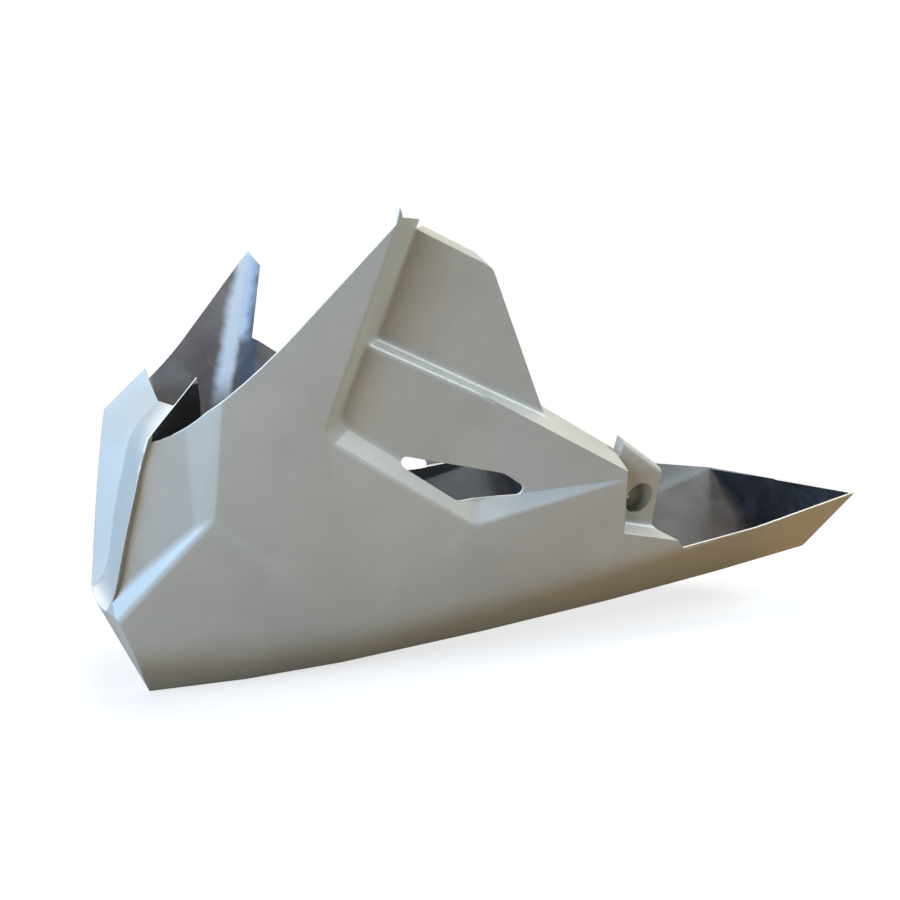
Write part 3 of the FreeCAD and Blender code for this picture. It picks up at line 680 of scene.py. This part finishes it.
@dataclass(frozen=True)
class Moulding:
    """The fairing's one moulding, with its outside, its inside and its cut edges.

    Attributes:
        sorter: tells its surfaces apart.
        merge_distance: how close corners are to become one.
        level_angle: greatest angle between faces that are joined into one.
        crease_angle: least angle of an edge that stays sharp and is rounded.
        edge_radius: radius of the rounded edges.
        edge_segments: steps round that radius.
        outside: the pale gelcoat.
        inside: the dark laminate.
        cut: the trimmed edge.
    """

    sorter: SkinSorter = SkinSorter()
    merge_distance: float = 0.01 * MILLIMETRE
    level_angle: float = math.radians(0.4)
    crease_angle: float = math.radians(24)
    edge_radius: float = 0.7 * MILLIMETRE
    edge_segments: int = 2
    outside: Finish = Finish(
        name="Gelcoat", base=linear(170, 172, 168), shade=linear(163, 165, 161),
        dust=linear(190, 190, 184), dust_amount=0.22, roughness=(0.4, 0.54), grain=0.3,
        fine_scale=620.0, wave_scale=46.0, wave_share=0.3, edge_radius=1.4 * MILLIMETRE, coat=0.12)
    inside: LaminateFinish = LaminateFinish(
        name="BareLaminate", base=linear(56, 58, 63), shade=linear(33, 34, 38),
        dust=linear(98, 102, 109), dust_amount=0.28, roughness=(0.36, 0.6), grain=0.4,
        fine_scale=420.0, wave_scale=90.0, wave_share=0.3, edge_radius=1.0 * MILLIMETRE)
    cut: Finish = Finish(
        name="CutEdge", base=linear(206, 208, 204), shade=linear(190, 192, 188),
        dust=linear(170, 168, 160), dust_amount=0.3, roughness=(0.55, 0.7), grain=0.25,
        fine_scale=900.0, wave_scale=120.0, wave_share=0.4, edge_radius=0.4 * MILLIMETRE)

    def shape(self, source: bpy.types.Mesh) -> bpy.types.Mesh:
        """Makes the moulding's mesh, sorted into its surfaces.

        Args:
            source: the solid's mesh, which stays as it is.

        Returns:
            The new mesh.
        """
        form = bmesh.new()
        form.from_mesh(source)
        bmesh.ops.remove_doubles(form, verts=form.verts, dist=self.merge_distance)
        self.sorter.sort(form)
        for skin in Skin:
            count = sum(face.material_index == skin for face in form.faces)
            LOG.info("%s: %d faces", skin.name.lower(), count)
        bmesh.ops.dissolve_limit(
            form, angle_limit=self.level_angle, verts=form.verts, edges=form.edges,
            use_dissolve_boundaries=False, delimit={"MATERIAL"})
        for edge in form.edges:
            edge.smooth = len(edge.link_faces) == 2 and edge.calc_face_angle(0.0) < self.crease_angle
        for face in form.faces:
            face.smooth = True
        mesh = bpy.data.meshes.new("moulding")
        form.to_mesh(mesh)
        form.free()
        return mesh

    def round_edges(self, piece: bpy.types.Object) -> None:
        """Rounds the sharp edges of a piece."""
        bevel = piece.modifiers.new("RoundedEdges", "BEVEL")
        bevel.width = self.edge_radius
        bevel.segments = self.edge_segments
        bevel.limit_method = "ANGLE"
        bevel.angle_limit = self.crease_angle
        bevel.use_clamp_overlap = True
        bevel.harden_normals = True

    def build(self, source: bpy.types.Object, groups: Groups) -> bpy.types.Object:
        """Builds the dressed moulding from the frame's solid.

        Args:
            source: the node's object.
            groups: the shared node groups by name.

        Returns:
            The dressed piece.
        """
        piece = hang("moulding", self.shape(source.data))
        for finish in (self.outside, self.inside, self.cut):
            piece.data.materials.append(finish.material(groups))
        self.round_edges(piece)
        return piece


@dataclass(frozen=True)
class Lamp:
    """One soft square light that faces the moulding.

    Attributes:
        name: the light's name.
        place: where it hangs.
        size: length of its side.
        power: its power in watts.
        colour: its colour.
    """

    name: str
    place: Point
    size: float
    power: float
    colour: Colour

    def build(self, aim: Point) -> None:
        """Hangs the light.

        Args:
            aim: the point it faces.
        """
        lamp = bpy.data.lights.new(self.name, "AREA")
        lamp.shape = "SQUARE"
        lamp.size = self.size
        lamp.energy = self.power
        lamp.color = self.colour
        holder = hang(self.name, lamp)
        holder.location = self.place
        holder.rotation_euler = (Vector(aim) - holder.location).to_track_quat("-Z", "Y").to_euler()


@dataclass(frozen=True)
class Studio:
    """Floor, soft lights, world and camera. Lengths are metres.

    Attributes:
        lamps: the lights.
        aim: the point that they face.
        room_colour: the colour of the room's own light.
        room_strength: its strength.
        floor_half: half the floor's side.
        paper: the floor's colour as the camera sees it.
        paper_roughness: its roughness.
        near_bounce: the floor's colour for the light that it throws back close to the moulding.
        far_bounce: the same further out.
        bounce_radii: distances between which the one becomes the other.
        gloss_white: share of white that the moulding's gloss sees in the floor.
        white_radii: distances between which the floor fades to pure white.
        white_shares: how white it is there.
        eye: where the camera stands.
        heading: how far the camera is turned from straight across.
        pitch: how far it looks down.
        lens: its focal length in millimetres.
        sensor: side of its square sensor in millimetres.
        sight: how far it sees.
    """

    lamps: Tuple[Lamp, ...] = (
        Lamp("FrontWindow", (2.25, 0.7, 0.8), 1.2, 50.0, (0.26, 0.58, 1.0)),
        Lamp("CornerWindow", (1.5, 1.15, 0.7), 0.8, 28.0, (0.80, 0.88, 1.0)),
        Lamp("Ceiling", (-0.2, 0.1, 2.4), 1.6, 68.0, (1.0, 0.85, 0.68)),
        Lamp("RearWindow", (-2.0, 0.9, 1.6), 1.0, 60.0, (0.86, 0.97, 1.0)),
        Lamp("FarWall", (0.2, -2.6, 1.1), 1.8, 42.0, (1.0, 0.99, 0.96)),
    )
    aim: Point = (0.05, 0.0, 0.18)
    room_colour: Colour = (0.95, 0.98, 1.0)
    room_strength: float = 0.04
    floor_half: float = 6.0
    paper: Colour = (0.95, 0.95, 0.95)
    paper_roughness: float = 0.9
    near_bounce: Colour = (0.30, 0.20, 0.09)
    far_bounce: Colour = (0.24, 0.21, 0.18)
    bounce_radii: Span = (0.45, 1.1)
    gloss_white: float = 0.12
    white_radii: Span = (0.45, 1.5)
    white_shares: Span = (0.72, 1.0)
    eye: Point = (0.489, 0.87875, 0.3097)
    heading: float = math.radians(26.186)
    pitch: float = math.radians(6.56)
    lens: float = 40.0
    sensor: float = 36.0
    sight: float = 50.0

    def paper_material(self) -> bpy.types.Material:
        """Builds the floor's paper, white to the camera and duller for the light it throws back.

        Returns:
            The material.
        """
        material = bpy.data.materials.new("FloorPaper")
        material.use_nodes = True
        sheet = NodeSheet(material.node_tree)
        path = sheet.add("ShaderNodeLightPath").outputs
        away = sheet.add("ShaderNodeVectorMath", operation="LENGTH")
        sheet.feed(away.inputs[0], sheet.position())
        distance = away.outputs["Value"]
        bounce = sheet.blend(sheet.remap(distance, self.bounce_radii), self.near_bounce, self.far_bounce)
        paper = sheet.fill(material.node_tree.nodes["Principled BSDF"], {
            "Base Color": sheet.blend(path["Is Camera Ray"], bounce, self.paper),
            "Roughness": self.paper_roughness,
            "Specular IOR Level": 0.0,
        })
        white = sheet.fill(sheet.add("ShaderNodeEmission"), {"Color": WHITE, "Strength": 1.0})
        gloss = sheet.work_out("MULTIPLY", path["Is Glossy Ray"], self.gloss_white)
        seen = sheet.work_out("MAXIMUM", path["Is Camera Ray"], gloss)
        share = sheet.work_out("MULTIPLY", seen, sheet.remap(distance, self.white_radii, self.white_shares))
        surface = material.node_tree.nodes["Material Output"].inputs["Surface"]
        sheet.feed(surface, sheet.cover(share, paper, white))
        return material

    def build_floor(self) -> None:
        """Builds the floor."""
        form = bmesh.new()
        bmesh.ops.create_grid(form, x_segments=1, y_segments=1, size=self.floor_half)
        mesh = bpy.data.meshes.new("floor")
        form.to_mesh(mesh)
        form.free()
        mesh.materials.append(self.paper_material())
        hang("floor", mesh)

    def build_world(self) -> None:
        """Builds the world: white to the camera, soft and even for the object."""
        world = bpy.data.worlds.new("SoftRoom")
        bpy.context.scene.world = world
        world.use_nodes = True
        nodes = world.node_tree.nodes
        sheet = NodeSheet(world.node_tree)
        room = sheet.fill(nodes["Background"], {"Color": self.room_colour, "Strength": self.room_strength})
        white = sheet.fill(sheet.add("ShaderNodeBackground"), {"Color": WHITE, "Strength": 1.0})
        camera_ray = sheet.add("ShaderNodeLightPath").outputs["Is Camera Ray"]
        sheet.feed(nodes["World Output"].inputs["Surface"], sheet.cover(camera_ray, room, white))

    def build_camera(self) -> None:
        """Adds the camera at the photograph's angle."""
        flat = math.cos(self.pitch)
        along, across = math.cos(self.heading) * flat, math.sin(self.heading) * flat
        view = Vector((-across, -along, -math.sin(self.pitch)))
        data = bpy.data.cameras.new("Camera")
        data.lens = self.lens
        data.sensor_width = self.sensor
        data.sensor_height = self.sensor
        data.sensor_fit = "HORIZONTAL"
        data.clip_end = self.sight
        camera = hang("Camera", data)
        camera.location = self.eye
        camera.rotation_euler = view.to_track_quat("-Z", "Y").to_euler()
        bpy.context.scene.camera = camera

    def build(self) -> None:
        """Builds the whole studio."""
        self.build_floor()
        self.build_world()
        for lamp in self.lamps:
            lamp.build(self.aim)
        self.build_camera()
        bpy.context.scene.view_settings.view_transform = "Standard"


def main() -> None:
    """Builds the moulding and the studio on the frame."""
    logging.basicConfig(level=logging.INFO, format="%(message)s")
    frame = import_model()
    groups = {"dust": handling_dust_group(), "grain": fine_grain_group()}
    moulding = Moulding().build(frame["nodes"][NODE], groups)
    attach(moulding, "root")
    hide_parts(NODE)
    LOG.info("moulding: %d faces", len(moulding.data.polygons))
    Studio().build()
    LOG.info("studio: floor, lights, world and camera")


if __name__ == "__main__":
    main()
